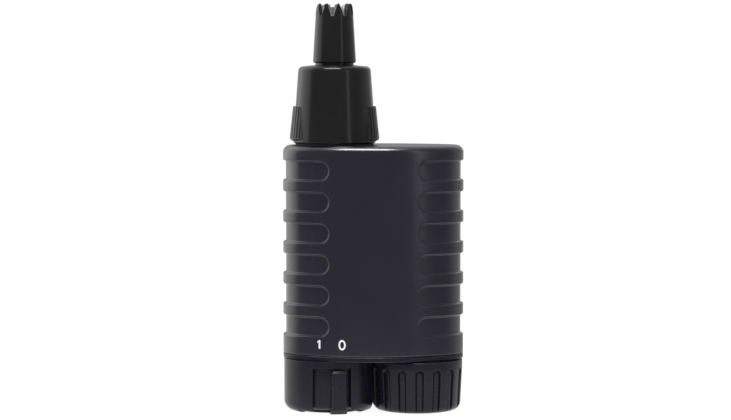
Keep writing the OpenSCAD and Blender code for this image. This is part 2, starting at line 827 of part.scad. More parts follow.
module head_collar() {
    color([0.1, 0.1, 0.1])
    at_head() translate([0, 0, collar_z]) {
        difference() {
            union() {
                rotate_extrude($fn = fine) collar_outline();
                finger_grips();
            }
            translate([0, 0, -1]) cylinder(r = collar_bore, h = web_z - collar_z + 1, $fn = fine);
            translate([0, 0, web_z - collar_z + web_t])
                cylinder(r = 7.4, h = collar_top - web_z - web_t - 2.4, $fn = mid);
            translate([0, 0, -1]) cylinder(r = stem_r + 0.7, h = 40, $fn = mid);
            translate([0, 0, web_z - collar_z + web_t - eps]) cylinder(r = 5, h = 40, $fn = mid);
            translate([0, 0, collar_h - 4]) cylinder(r = guard_neck_r + seat, h = 20, $fn = mid);
        }
        translate([0, 0, web_z - collar_z]) ring(4.6, 3 + running, 6, mid);
        translate([0, 0, shell_top + 3.4 - collar_z])
            thread(collar_bore - ridge, collar_bore + 0.4, head_lead, 3, 2.6,
                   360 * (ridge_t + clear) / head_lead);
    }
}

// one notch between teeth, cut outwards
module notch(width, depth, foot) {
    start = guard_tip_r - guard_wall - 1.5;
    flare = (width / 2 - foot) / (depth - foot);
    translate([0, -start, 0]) rotate([90, 0, 0]) linear_extrude(guard_r) {
        translate([0, foot]) circle(r = foot, $fn = small);
        polygon([[-foot, foot], [foot, foot], [width / 2 + flare, depth + 1],
                 [-width / 2 - flare, depth + 1]]);
    }
}

module notches(tip_r, z, depth, shrink = 0) {
    first = -6;
    foot = 0.5;
    for (k = [0:tooth_count - 1])
        rotate(first + k * 360 / tooth_count) translate([0, 0, z + shrink])
            notch(2 * PI * tip_r / tooth_count - tooth_land - 2 * shrink, depth - shrink,
                  foot - shrink);
}

// half section of the guard's wall: neck, skirt and teeth, with the bore inside
module guard_section() {
    arc = 4;
    foot = collar_top - 4 - guard_z;
    bend = guard_h - tooth_h;
    polygon([[guard_bore, foot], [guard_neck_r, foot], [guard_neck_r, 0], [guard_r - 0.3, 0],
        [guard_r, 0.3], [guard_top_r, bend],
        for (k = [1:arc]) [guard_top_r - (guard_top_r - guard_tip_r) * (1 - cos(90 * k / arc)),
                           bend + tooth_h * sin(90 * k / arc)],
        [guard_tip_r - guard_wall, guard_h], [guard_top_r - guard_wall, bend]]);
}

module blade_guard() {
    color([0.12, 0.12, 0.12])
    at_head() difference() {
        translate([0, 0, guard_z]) rotate_extrude($fn = fine) guard_section();
        notches(guard_tip_r, guard_top - tooth_h, tooth_h);
    }
}

module fixed_blade() {
    foot = guard_h - blade_h;
    out_top = guard_top_r - guard_wall - seat;
    out_tip = guard_tip_r - guard_wall - seat;
    out_foot = guard_bore - (guard_bore - out_top) * foot / (guard_h - tooth_h) - 0.06;
    color("silver")
    at_head() difference() {
        translate([0, 0, guard_z]) rotate_extrude($fn = mid) polygon([
            [out_foot - blade_t, foot], [out_foot, foot], [out_top - 0.05, guard_h - tooth_h],
            [out_tip, guard_h - 0.3], [out_tip - blade_t, guard_h - 0.3],
            [out_top - 0.05 - blade_t, guard_h - tooth_h]]);
        notches(guard_tip_r - guard_wall, guard_top - tooth_h, tooth_h, 0.22);
    }
}

module stem_bush() {
    color([0.95, 0.93, 0.85])
    at_head() translate([0, 0, web_z + web_t + 0.1]) ring(3, stem_r + running, 4.3, mid);
}

module bush_retainer() {
    color("silver")
    at_head() translate([0, 0, web_z + 6.02]) difference() {
        cylinder(r = 4.4, h = 0.5, $fn = mid);
        translate([0, 0, -1]) cylinder(r = stem_r + 0.35, h = 3, $fn = mid);
    }
}

module blade_stem() {
    socket_z = shell_top + 2.4;
    socket_top = web_z - 0.5;
    color([0.93, 0.93, 0.9])
    at_head() difference() {
        union() {
            translate([0, 0, socket_z]) cylinder(r = 3.4, h = socket_top - socket_z, $fn = mid);
            translate([0, 0, socket_z])
                cylinder(r = stem_r, h = guard_top - blade_h - socket_z, $fn = mid);
        }
        translate([0, 0, socket_z - 1]) cylinder(r = 2.1 + 0.15, h = 5.4, $fn = 6);
    }
}

module inner_blade() {
    top = guard_top - 0.9;
    low = guard_top - blade_h;
    reach = guard_top_r - guard_wall - blade_t - 0.35;
    tip = guard_tip_r - guard_wall - blade_t - 0.3;
    color("silver")
    at_head() {
        for (k = [0:cutter_wings - 1]) rotate(k * 360 / cutter_wings + 20)
            rotate([90, 0, 0]) translate([0, 0, -0.2]) linear_extrude(0.4)
                polygon([[0, low], [reach - 0.3, low], [reach - 0.1, guard_top - tooth_h],
                         [tip, top], [0, top]]);
        translate([0, 0, low - 2.2]) ring(2.4, stem_r + seat, 2.2 + eps, small);
        translate([0, 0, low]) cylinder(r = 3.3, h = 0.6, $fn = small);
    }
}

module blade_spring() {
    foot = web_z + 6.6;
    color("silver")
    at_head() translate([0, 0, foot])
        coil(2.1, 2.1, guard_top - blade_h - 2.3 - foot, 5, 0.25, 12, 6);
}

body_shell();
base_housing();
base_gasket();
base_screws();
neck_gasket();
cap_gasket();
chassis();
motor_can();
motor_magnets();
motor_end_cap();
motor_terminals();
motor_shaft();
armature();
drive_coupler();
shaft_seal();
aa_cell();
positive_contact();
negative_strip();
switch_contact();
motor_leads();
switch_knob();
switch_oring();
switch_wiper();
switch_screw();
battery_cap();
contact_plate();
contact_spring();
head_collar();
blade_guard();
fixed_blade();
stem_bush();
bush_retainer();
blade_stem();
inner_blade();
blade_spring();
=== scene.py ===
"""Nose hair trimmer: finishes, modelled outer pieces, printed marks and studio round the frame."""

import json
import logging
import math
from dataclasses import dataclass, field
from enum import Enum

import bmesh
import bpy
from mathutils import Matrix, Vector

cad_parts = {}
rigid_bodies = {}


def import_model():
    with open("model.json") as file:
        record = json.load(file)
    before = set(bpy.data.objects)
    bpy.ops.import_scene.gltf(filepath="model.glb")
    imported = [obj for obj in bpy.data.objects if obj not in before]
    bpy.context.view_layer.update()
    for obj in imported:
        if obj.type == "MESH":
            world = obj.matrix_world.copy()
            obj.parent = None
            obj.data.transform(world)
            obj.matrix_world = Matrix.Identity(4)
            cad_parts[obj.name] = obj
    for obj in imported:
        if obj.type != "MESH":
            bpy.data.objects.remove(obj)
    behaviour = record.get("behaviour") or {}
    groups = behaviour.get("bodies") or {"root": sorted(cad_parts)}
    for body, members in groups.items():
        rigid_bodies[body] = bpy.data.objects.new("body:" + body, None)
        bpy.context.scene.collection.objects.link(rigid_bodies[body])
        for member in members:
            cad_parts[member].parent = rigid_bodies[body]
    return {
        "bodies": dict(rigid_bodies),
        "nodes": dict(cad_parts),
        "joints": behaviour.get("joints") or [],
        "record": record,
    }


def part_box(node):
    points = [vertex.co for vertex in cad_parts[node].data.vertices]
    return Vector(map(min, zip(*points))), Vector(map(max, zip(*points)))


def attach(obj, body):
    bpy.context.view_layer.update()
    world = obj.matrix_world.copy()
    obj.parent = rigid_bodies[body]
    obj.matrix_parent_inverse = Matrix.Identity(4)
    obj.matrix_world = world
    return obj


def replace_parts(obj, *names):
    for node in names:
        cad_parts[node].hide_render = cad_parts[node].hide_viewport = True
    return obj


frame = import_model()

MM = 0.001
SHARP = math.radians(50)    # face angle from which an edge stays sharp
TURN_STEPS = 96             # facets round a turned surface
NEAR = 1e-4                 # millimetres within which a vertex counts as in place
MERGE = 1e-3                # millimetres within which vertices are merged
log = logging.getLogger("trimmer")


class Signal:
    """A shader output that takes part in Python arithmetic."""

    def __init__(self, graph: "Graph", socket: bpy.types.NodeSocket) -> None:
        """Wraps a socket.

        Args:
            graph: The node graph that holds the socket.
            socket: The output socket.
        """
        self.graph = graph
        self.socket = socket

    def _math(self, operation: str, first: object, second: object) -> "Signal":
        """Adds one Math node and returns its result."""
        return self.graph.node("ShaderNodeMath", {"operation": operation}, {0: first, 1: second})

    def __add__(self, other: object) -> "Signal":
        """Sum."""
        return self._math("ADD", self, other)

    __radd__ = __add__

    def __sub__(self, other: object) -> "Signal":
        """Difference."""
        return self._math("SUBTRACT", self, other)

    def __rsub__(self, other: object) -> "Signal":
        """Difference from a number."""
        return self._math("SUBTRACT", other, self)

    def __mul__(self, other: object) -> "Signal":
        """Product."""
        return self._math("MULTIPLY", self, other)

    __rmul__ = __mul__


class Graph:
    """A node tree that is written as calls and expressions."""

    def __init__(self, tree: bpy.types.NodeTree) -> None:
        """Empties a tree to build in.

        Args:
            tree: The material's or world's node tree.
        """
        self.tree = tree
        tree.nodes.clear()

    def node(self, kind: str, settings: dict | None = None, inputs: dict | None = None,
             out: int | str = 0) -> Signal:
        """Adds a node, its settings first and then its sockets.

        Args:
            kind: The node's type name.
            settings: Attributes, such as a Math node's operation.
            inputs: Values or Signals by socket name or number.
            out: The output to return.

        Returns:
            The chosen output.
        """
        made = self.tree.nodes.new(kind)
        for name, value in (settings or {}).items():
            setattr(made, name, value)
        for name, value in (inputs or {}).items():
            if isinstance(value, Signal):
                self.tree.links.new(value.socket, made.inputs[name])
            else:
                made.inputs[name].default_value = value
        return Signal(self, made.outputs[out]) if made.outputs else Signal(self, None)

    def noise(self, where: Signal, scale: float, detail: float,
              stretch: tuple[float, float, float] | None = None) -> Signal:
        """Noise between 0 and 1.

        Args:
            where: The coordinates.
            scale: Cycles per metre.
            detail: Octaves.
            stretch: Factors on the coordinates, for a directional pattern.

        Returns:
            The noise value.
        """
        if stretch is not None:
            where = self.node("ShaderNodeMapping", {}, {"Vector": where, "Scale": stretch})
        return self.node("ShaderNodeTexNoise", {},
                         {"Vector": where, "Scale": scale, "Detail": detail})

    def ramp(self, value: Signal, low: float, high: float) -> Signal:
        """A value stretched so that low becomes 0 and high becomes 1, and clamped."""
        return self.node("ShaderNodeMapRange", {"clamp": True},
                         {"Value": value, "From Min": low, "From Max": high})

    def ray(self, kind: str) -> Signal:
        """1 for rays of one kind, such as Camera or Glossy."""
        return self.node("ShaderNodeLightPath", out=f"Is {kind} Ray")

    def seen_directly(self) -> Signal:
        """1 for camera, glossy and transmission rays, so that mirrors see what the camera sees."""
        return self.ramp(self.ray("Transmission") + self.ray("Camera") + self.ray("Glossy"), 0, 1)

    def blend(self, factor: Signal, first: object, second: object) -> Signal:
        """A colour between two colours."""
        inputs = {0: factor, 6: first, 7: second}
        return self.node("ShaderNodeMix", {"data_type": "RGBA"}, inputs, out=2)


class Texture(Enum):
    """What the fine surface of a finish looks like."""

    GRAIN = "even moulded grain"
    POLISH = "polished, with faint waviness"
    BRUSHED = "ground in one direction"
    SMOOTH = "smooth, with faint mottling"


@dataclass(frozen=True)
class Pattern:
    """Noise behind a texture.

    Attributes:
        scale: Cycles per metre.
        detail: Octaves.
        depth: Bump depth in metres.
        spread: How much of the roughness varies with it.
        coarse: Cycles per metre of a second, coarser layer, or 0 for none.
        coarse_share: That layer's share of the height.
        stretch: Factors on the coordinates, for a directional pattern.
    """

    scale: float
    detail: float
    depth: float
    spread: float
    coarse: float = 0.0
    coarse_share: float = 0.4
    stretch: tuple[float, float, float] | None = None

    def height(self, graph: Graph, where: Signal) -> Signal:
        """The pattern's height, between 0 and 1."""
        fine = graph.noise(where, self.scale, self.detail, self.stretch)
        if not self.coarse:
            return fine
        coarse = graph.noise(where, self.coarse, self.detail)
        return fine * (1 - self.coarse_share) + coarse * self.coarse_share


PATTERNS = {
    Texture.GRAIN: Pattern(5200, 2.0, 0.0015 * MM, 0.06, coarse=1500),
    Texture.POLISH: Pattern(260, 1.0, 0.006 * MM, 0.05),
    Texture.BRUSHED: Pattern(900, 3.0, 0.006 * MM, 0.18, stretch=(6, 6, 0.3)),
    Texture.SMOOTH: Pattern(700, 2.0, 0.004 * MM, 0.08),
}


@dataclass(frozen=True)
class Finish:
    """A surface finish.

    Attributes:
        name: Material name.
        colour: Base colour, linear.
        edge_glint_and_wear: Colour of the edges, linear: real scuffs, and where lighter than the
            face also a painted glint.
        roughness: Mean roughness.
        texture: The fine pattern.
        metallic: 1 for bare metal.
        coat: Weight of a clear coat.
        edge: Radius of softened edges in metres.
        glint_and_wear_share: How much of that edge colour, painted glint and wear, shows on edges.
        specular: Reflection at normal incidence, 0.5 for common plastic.
    """

    name: str
    colour: tuple[float, float, float]
    edge_glint_and_wear: tuple[float, float, float]
    roughness: float
    texture: Texture
    metallic: float = 0.0
    coat: float = 0.0
    edge: float = 0.12 * MM
    glint_and_wear_share: float = 0.5
    specular: float = 0.5

    MOTTLE_SCALE = 90           # cycles per metre of the slow mottling
    MOTTLE_DARK = 0.86          # its darkest level, as a share of the colour
    MOTTLE_ROUGH = 0.04         # how much of the roughness varies with it
    MOTTLE_GLINT_AND_WEAR = 0.6           # its weight, beside the pattern, in where the painted edge glint and wear show
    EDGE_TURN = (0.995, 0.80)   # cosines of the softened normal, from plain face to edge with full painted glint and wear

    def build(self) -> bpy.types.Material:
        """Makes the material.

        Returns:
            The node-based material.
        """
        material = bpy.data.materials.new(self.name)
        material.use_nodes = True
        graph = Graph(material.node_tree)
        where = graph.node("ShaderNodeTexCoord", out="Object")
        pattern = PATTERNS[self.texture]
        height = pattern.height(graph, where)
        mottling = graph.ramp(graph.noise(where, self.MOTTLE_SCALE, 4.0), 0.3, 0.7)
        soft = graph.node("ShaderNodeBevel", {"samples": 6}, {"Radius": self.edge})
        true = graph.node("ShaderNodeNewGeometry", out="True Normal")
        facing = graph.node("ShaderNodeVectorMath", {"operation": "DOT_PRODUCT"},
                            {0: soft, 1: true}, out="Value")
        patchy = graph.ramp(height + mottling * self.MOTTLE_GLINT_AND_WEAR, 0.35, 1.0)
        # Painted highlight mixed with real wear: rounded edges take a lighter colour, patchy like
        # wear, standing in for glints where edges catch light.
        edge_glint_and_wear = graph.ramp(facing, *self.EDGE_TURN) * patchy * self.glint_and_wear_share
        shade = tuple(self.MOTTLE_DARK * level for level in self.colour) + (1,)
        mixed = graph.blend(mottling, shade, self.colour + (1,))
        tint = graph.blend(edge_glint_and_wear, mixed, self.edge_glint_and_wear + (1,))
        bump = graph.node("ShaderNodeBump", {}, {
            "Strength": 1.0, "Distance": pattern.depth, "Height": height, "Normal": soft})
        rough = (self.roughness + pattern.spread * (height - 0.5)
                 + self.MOTTLE_ROUGH * (mottling - 0.5))
        surface = graph.node("ShaderNodeBsdfPrincipled", {}, {
            "Base Color": tint, "Roughness": rough, "Metallic": self.metallic,
            "Coat Weight": self.coat, "Coat Roughness": 0.08,
            "Specular IOR Level": self.specular, "Normal": bump})
        graph.node("ShaderNodeOutputMaterial", {}, {"Surface": surface})
        return material


class Finishes:
    """Every finish on the trimmer, made once."""

    TABLE = {
        # The second colour of each finish is its edge colour: real wear, and where it is lighter
        # than the face, also a painted glint along the edges.
        "body_plastic": Finish("satin_body_plastic", (0.0104, 0.0092, 0.0204),
                               (0.044, 0.043, 0.054), 0.24, Texture.GRAIN, edge=0.16 * MM,
                               glint_and_wear_share=0.25, specular=0.95),
        "base_plastic": Finish("satin_base_plastic", (0.0120, 0.0107, 0.0180),
                               (0.085, 0.083, 0.095), 0.26, Texture.GRAIN, edge=0.16 * MM,
                               glint_and_wear_share=0.6, specular=0.26),
        # Painted highlight: the head plastic's light edge colour and high share paint glints along
        # rib and tooth edges, over a little real wear.
        "gloss_plastic": Finish("gloss_head_plastic", (0.0125, 0.0117, 0.0126), (0.13, 0.13, 0.135),
                                0.15, Texture.POLISH, glint_and_wear_share=0.8, specular=0.27),
        "inner_plastic": Finish("natural_inner_plastic", (0.70, 0.68, 0.61), (0.80, 0.79, 0.74),
                                0.5, Texture.SMOOTH),
        "acetal": Finish("white_acetal", (0.82, 0.81, 0.77), (0.90, 0.90, 0.88),
                         0.35, Texture.SMOOTH),
        "seal_rubber": Finish("seal_rubber", (0.018, 0.018, 0.019), (0.05, 0.05, 0.05),
                              0.75, Texture.GRAIN),
        "blade_steel": Finish("ground_blade_steel", (0.78, 0.78, 0.79), (0.92, 0.92, 0.92),
                              0.36, Texture.BRUSHED, metallic=1.0, edge=0.05 * MM),
        "plated_steel": Finish("nickel_plated_steel", (0.66, 0.65, 0.62), (0.80, 0.80, 0.78),
                               0.22, Texture.SMOOTH, metallic=1.0, edge=0.05 * MM),
        "contact_brass": Finish("bright_contact_brass", (0.72, 0.52, 0.22), (0.85, 0.70, 0.40),
                                0.28, Texture.BRUSHED, metallic=1.0, edge=0.05 * MM),
        "magnet": Finish("sintered_magnet", (0.07, 0.07, 0.075), (0.2, 0.2, 0.2),
                         0.6, Texture.GRAIN),
        "winding": Finish("enamelled_winding", (0.45, 0.17, 0.07), (0.6, 0.35, 0.2),
                          0.35, Texture.BRUSHED, metallic=0.6),
        "cell_jacket": Finish("printed_cell_jacket", (0.06, 0.20, 0.11), (0.3, 0.35, 0.3),
                              0.25, Texture.SMOOTH, coat=0.5),
        "wire_sleeve": Finish("red_wire_sleeve", (0.40, 0.02, 0.02), (0.5, 0.1, 0.1),
                              0.45, Texture.SMOOTH),
        "print_white": Finish("white_print", (0.80, 0.80, 0.80), (0.6, 0.6, 0.6),
                              0.55, Texture.SMOOTH, edge=0.01 * MM),
    }

    def __init__(self, recorded: set[str]) -> None:
        """Starts with no material made.

        Args:
            recorded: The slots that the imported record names.
        """
        self.recorded = recorded
        self._made: dict[str, bpy.types.Material] = {}

    def __getitem__(self, slot: str) -> bpy.types.Material:
        """The material of a slot, made on first use."""
        if slot not in self._made:
            self._made[slot] = self.TABLE[slot].build()
        return self._made[slot]


def dress(piece: bpy.types.Object, material: bpy.types.Material) -> None:
    """Gives a piece one material.

    Args:
        piece: The piece.
        material: Its material.
    """
    piece.data.materials.clear()
    piece.data.materials.append(material)


def pick(geom: list, kind: type) -> list:
    """The elements of one kind, such as BMVert, among those that an operator returned."""
    return [part for part in geom if isinstance(part, kind)]


def everything(mesh: bmesh.types.BMesh) -> list:
    """All of a shape's vertices, edges and faces."""
    return mesh.verts[:] + mesh.edges[:] + mesh.faces[:]


def open_edges(mesh: bmesh.types.BMesh) -> list[bmesh.types.BMEdge]:
    """A shape's edges that have a face on one side only."""
    return [edge for edge in mesh.edges if edge.is_boundary]


def to_piece(name: str, mesh: bmesh.types.BMesh, body: str, slot: str,
             finishes: Finishes) -> bpy.types.Object:
    """Turns a bmesh, in millimetres and in place, into a piece of the trimmer in metres.

    Args:
        name: The piece's name.
        mesh: Its shape, which is freed.
        body: The body it rides on.
        slot: The record's material slot.
        finishes: The trimmer's finishes.

    Returns:
        The new object.
    """
    gaps = len(open_edges(mesh))
    bmesh.ops.scale(mesh, vec=(MM, MM, MM), verts=mesh.verts)
    bmesh.ops.recalc_face_normals(mesh, faces=mesh.faces)
    for face in mesh.faces:
        face.smooth = True
    for edge in mesh.edges:
        edge.smooth = edge.calc_face_angle(0) < SHARP
    data = bpy.data.meshes.new(name)
    mesh.to_mesh(data)
    mesh.free()
    piece = bpy.data.objects.new(name, data)
    bpy.context.scene.collection.objects.link(piece)
    dress(piece, finishes[slot])
    slot in finishes.recorded
    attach(piece, body)
    log.info("%s: %d faces, %d open edges, rides on %s", name, len(data.polygons), gaps, body)
    return piece


def spin_path(mesh: bmesh.types.BMesh, path: list[tuple[float, float]], centre: float) -> None:
    """Adds a turned surface about an upright axis.

    Args:
        mesh: The shape that it is added to.
        path: Its half section as radius and height.
        centre: The axis's place across the width.
    """
    verts = [mesh.verts.new((centre + radius, 0, height)) for radius, height in path]
    edges = [mesh.edges.new(pair) for pair in zip(verts, verts[1:])]
    bmesh.ops.spin(mesh, geom=verts + edges, cent=(centre, 0, 0), axis=(0, 0, 1), dvec=(0, 0, 0),
                   angle=2 * math.pi, steps=TURN_STEPS, use_merge=True, use_duplicate=False)


@dataclass(frozen=True)
class Thread:
    """Right-handed thread made of a few separate ridges. Millimetres.

    Attributes:
        inner: Inner radius of the ridges.
        outer: Outer radius.
        foot: Height of their lower end.
        lead: Rise in one turn.
        starts: Number of ridges.
        first: Angle in degrees at which the first one starts.
        rise: Height of a ridge's run.
        thick: Thickness of a ridge along the axis.
        steps: Facets along a ridge.
    """

    inner: float
    outer: float
    foot: float
    lead: float
    starts: int
    first: float = 7.3
    rise: float = 2.6
    thick: float = 1.2
    steps: int = 10

    def cut(self, mesh: bmesh.types.BMesh, centre: float = 0.0) -> None:
        """Adds the ridges.

        Args:
            mesh: The shape that they are added to.
            centre: The axis's place across the width.
        """
        around = {"cent": (centre, 0, 0), "axis": (0, 0, 1), "steps": self.steps,
                  "use_merge": False, "use_duplicate": False}
        for k in range(self.starts):
            angle = math.radians(self.first) + 2 * math.pi * k / self.starts
            ends = [mesh.verts.new((centre + r * math.cos(angle), r * math.sin(angle), self.foot))
                    for r in (self.inner, self.outer)]
            before = set(mesh.faces)
            bmesh.ops.spin(mesh, geom=ends + [mesh.edges.new(ends)], dvec=(0, 0, 0),
                           angle=2 * math.pi * self.thick / self.lead, **around)
            faces = [face for face in mesh.faces if face not in before]
            edges = dict.fromkeys(edge for face in faces for edge in face.edges)
            verts = dict.fromkeys(vert for face in faces for vert in face.verts)
            bmesh.ops.spin(mesh, geom=[*faces, *edges, *verts],
                           dvec=(0, 0, self.rise / self.steps),
                           angle=2 * math.pi * self.rise / self.lead, **around)


@dataclass
class Oval:
    """Plan outline of the body: two end arcs and two flank arcs that meet in tangents. Millimetres.

    Attributes:
        half_width: Half of the overall width.
        half_depth: Half of the overall depth.
        end_radius: Radius of the narrow ends.
    """

    half_width: float
    half_depth: float
    end_radius: float

    def __post_init__(self) -> None:
        """Works out the arcs' centres."""
        self.end_centre = self.half_width - self.end_radius
        narrow = self.half_depth - self.end_radius
        self.flank_centre = (self.end_centre ** 2 - narrow ** 2) / (2 * narrow)
        self.flank_radius = self.half_depth + self.flank_centre
        self.meet = math.atan2(self.end_centre, self.flank_centre)
        self.flank_length = self.flank_radius * self.meet
        self.quarter = self.flank_length + self.end_radius * (math.pi / 2 - self.meet)

    def along(self, x: float) -> float:
        """Distance along the front flank, from its middle to the point above x."""
        return self.flank_radius * math.asin(x / self.flank_radius)

    def place(self, along: float, out: float, height: float) -> Vector:
        """A point near the surface, in millimetres.

        Args:
            along: Distance along the outline from the middle of the front.
            out: Distance outwards from the surface.
            height: Height.

        Returns:
            The point.
        """
        side = math.copysign(1, along)
        run = abs(along)
        if run <= self.flank_length:
            angle = run / self.flank_radius
            centre, radius = Vector((0, self.flank_centre)), self.flank_radius
        else:
            angle = self.meet + (run - self.flank_length) / self.end_radius
            centre, radius = Vector((self.end_centre, 0)), self.end_radius
        spot = centre + (radius + out) * Vector((math.sin(angle), -math.cos(angle)))
        return Vector((side * spot.x, spot.y, height))

    def wrap(self, mesh: bmesh.types.BMesh) -> None:
        """Bends a flat shape round the oval: x runs along it, -y is outwards, z is the height."""
        for vert in mesh.verts:
            vert.co = self.place(vert.co.x, -vert.co.y, vert.co.z)


@dataclass
class BodyShell:
    """Oval shell with grip recesses down both sides. Millimetres.

    Attributes:
        oval: Plan outline.
        foot: Height of the lower edge.
        top: Height of the upper face.
        head_axis: Place of the head's axis across the width.
        top_round: Round of the upper edge.
        edge_round: Round of the lower edge.
        wall: Wall thickness.
        recess_count: Recesses on each side.
        recess_height: Height of a recess.
        recess_pitch: Spacing of the recesses.
        recess_rise: Height of the lowest recess's middle above the lower edge.
        recess_depth: Depth of a recess.
        recess_start: Half width of the plain middle.
        slope: Run of a recess's sides.
        mouth_soft: Width and facets of the round on a recess's outer edge.
        floor_soft: The same on its inner edge.
        arc_steps: Facets of a recess's rounded end.
        column_step: Spacing of the upright cuts that let the flat skin bend.
        band_margin: Height beyond a recess at which the skin is cut level.
        neck_radius: Radius of the threaded neck.
        neck_height: Height of the neck.
        neck_wall: Wall of the neck.
        neck_ease: Ease of the neck's rim.
        neck_lead: Lead of its thread.
        thread_starts: Ridges of its thread.
        thread_foot: Height of the ridges above the upper face.
        thread_sunk: How far the ridges reach into the neck.
        thread_proud: How far they stand out of it.
        seal_radius: Radius of the shaft seal's seat.
        seal_floor: Thickness left under the seat.
        shaft_hole: Radius of the hole for the shaft.
    """

    oval: Oval
    foot: float
    top: float
    head_axis: float
    top_round: float = 2.0
    edge_round: float = 0.35
    wall: float = 1.8
    recess_count: int = 6
    recess_height: float = 5.3
    recess_pitch: float = 8.2
    recess_rise: float = 7.7
    recess_depth: float = 0.75
    recess_start: float = 11.5
    slope: float = 0.3
    mouth_soft: tuple[float, int] = (0.26, 4)
    floor_soft: tuple[float, int] = (0.2, 3)
    arc_steps: int = 14
    column_step: float = 0.7
    band_margin: float = 0.5
    neck_radius: float = 7.9
    neck_height: float = 8.0
    neck_wall: float = 1.4
    neck_ease: float = 0.25
    neck_lead: float = 12.0
    thread_starts: int = 3
    thread_foot: float = 3.4
    thread_sunk: float = 0.4
    thread_proud: float = 0.8
    seal_radius: float = 3.5
    seal_floor: float = 0.6
    shaft_hole: float = 1.6

    def _middles(self) -> list[float]:
        """Heights of the recesses' middles."""
        lowest = self.foot + self.recess_rise
        return [lowest + k * self.recess_pitch for k in range(self.recess_count)]

    def _recess_outline(self, middle: float) -> list[tuple[float, float]]:
        """One recess's edge, from its lower end at the side round to its upper end."""
        radius = self.recess_height / 2
        centre = self.oval.along(self.recess_start + radius)
        arc = [(centre - radius * math.sin(math.pi * k / self.arc_steps),
                middle - radius * math.cos(math.pi * k / self.arc_steps))
               for k in range(self.arc_steps + 1)]
        side = self.oval.quarter
        return [(side, middle - radius), *arc, (side, middle + radius)]

    def _flat_quarter(self) -> bmesh.types.BMesh:
        """The outer skin of a quarter, laid flat, with its recesses and softened edges."""
        mesh = bmesh.new()
        low, high = self.foot + self.edge_round, self.top - self.top_round
        outline = [mesh.verts.new((0, 0, low)), mesh.verts.new((self.oval.quarter, 0, low))]
        recesses = []
        for middle in self._middles():
            loop = [mesh.verts.new((x, 0, z)) for x, z in self._recess_outline(middle)]
            outline += loop
            recesses.append(mesh.faces.new(loop))
        outline += [mesh.verts.new((self.oval.quarter, 0, high)), mesh.verts.new((0, 0, high))]
        mesh.faces.new(outline)
        bmesh.ops.recalc_face_normals(mesh, faces=mesh.faces)
        front = Vector((0, -1, 0))
        bmesh.ops.reverse_faces(mesh, faces=[f for f in mesh.faces if f.normal.dot(front) < 0])
        for face in recesses:
            bmesh.ops.inset_region(mesh, faces=[face], thickness=self.slope,
                                   depth=-self.recess_depth, use_even_offset=True,
                                   use_boundary=False)
        self._soften(mesh)
        return mesh

    def _soften(self, mesh: bmesh.types.BMesh) -> None:
        """Rounds the recesses' outer and inner edges."""
        least_turn = 0.3
        for depth, (offset, segments) in ((0.0, self.mouth_soft),
                                          (self.recess_depth, self.floor_soft)):
            edges = [e for e in mesh.edges if len(e.link_faces) == 2
                     and all(abs(v.co.y - depth) < NEAR for v in e.verts)
                     and e.calc_face_angle(0) > least_turn]
            bmesh.ops.bevel(mesh, geom=edges, offset=offset, segments=segments, profile=0.5,
                            affect="EDGES", material=-1, clamp_overlap=True)

    def _border(self, mesh: bmesh.types.BMesh, height: float,
                depth: float) -> list[bmesh.types.BMEdge]:
        """The open edges at one height and depth."""
        return [e for e in open_edges(mesh) if all(
            abs(v.co.z - height) < NEAR and abs(v.co.y - depth) < NEAR for v in e.verts)]

    def _grow(self, mesh: bmesh.types.BMesh, path: list[tuple[float, float]]) -> None:
        """Extrudes an open border through a path of (depth, height) points, from its first one."""
        for (depth, height), (next_depth, next_height) in zip(path, path[1:]):
            made = bmesh.ops.extrude_edge_only(mesh, edges=self._border(mesh, height, depth))
            bmesh.ops.translate(mesh, verts=pick(made["geom"], bmesh.types.BMVert),
                                vec=(0, next_depth - depth, next_height - height))

    @staticmethod
    def _quarter_round(radius: float, start: float, sense: int,
                       steps: int) -> list[tuple[float, float]]:
        """A quarter round as depth and height, from a start on the skin upwards or downwards."""
        turns = [math.pi / 2 * k / steps for k in range(steps + 1)]
        return [(radius * (1 - math.cos(a)), start + sense * radius * math.sin(a)) for a in turns]

    def _rim_path(self) -> list[tuple[float, float]]:
        """Round of the upper edge, as depth and height."""
        return self._quarter_round(self.top_round, self.top - self.top_round, 1, 10)

    def _foot_path(self) -> list[tuple[float, float]]:
        """Round of the lower edge and the inner wall, as depth and height."""
        arc = self._quarter_round(self.edge_round, self.foot + self.edge_round, -1, 4)
        return arc + [(self.wall, self.foot), (self.wall, self.top - self.wall)]

    def mesh(self) -> bmesh.types.BMesh:
        """The whole shell.

        Returns:
            A closed shape, in millimetres.
        """
        mesh = self._flat_quarter()
        self._grow(mesh, self._rim_path())
        self._grow(mesh, self._foot_path())
        reach = self.recess_height / 2 + self.band_margin
        cuts = [((k * self.column_step, 0, 0), (1, 0, 0))
                for k in range(1, int(self.oval.quarter / self.column_step) + 1)]
        cuts += [((0, 0, middle + side * reach), (0, 0, 1))
                 for middle in self._middles() for side in (-1, 1)]
        for place, normal in cuts:
            bmesh.ops.bisect_plane(mesh, geom=everything(mesh), dist=1e-5, plane_co=place,
                                   plane_no=normal)
        self.oval.wrap(mesh)
        for axis in ("X", "Y"):
            bmesh.ops.mirror(mesh, geom=everything(mesh), axis=axis, merge_dist=MERGE)
        bmesh.ops.remove_doubles(mesh, verts=mesh.verts, dist=MERGE)
        self._neck(mesh)
        return mesh

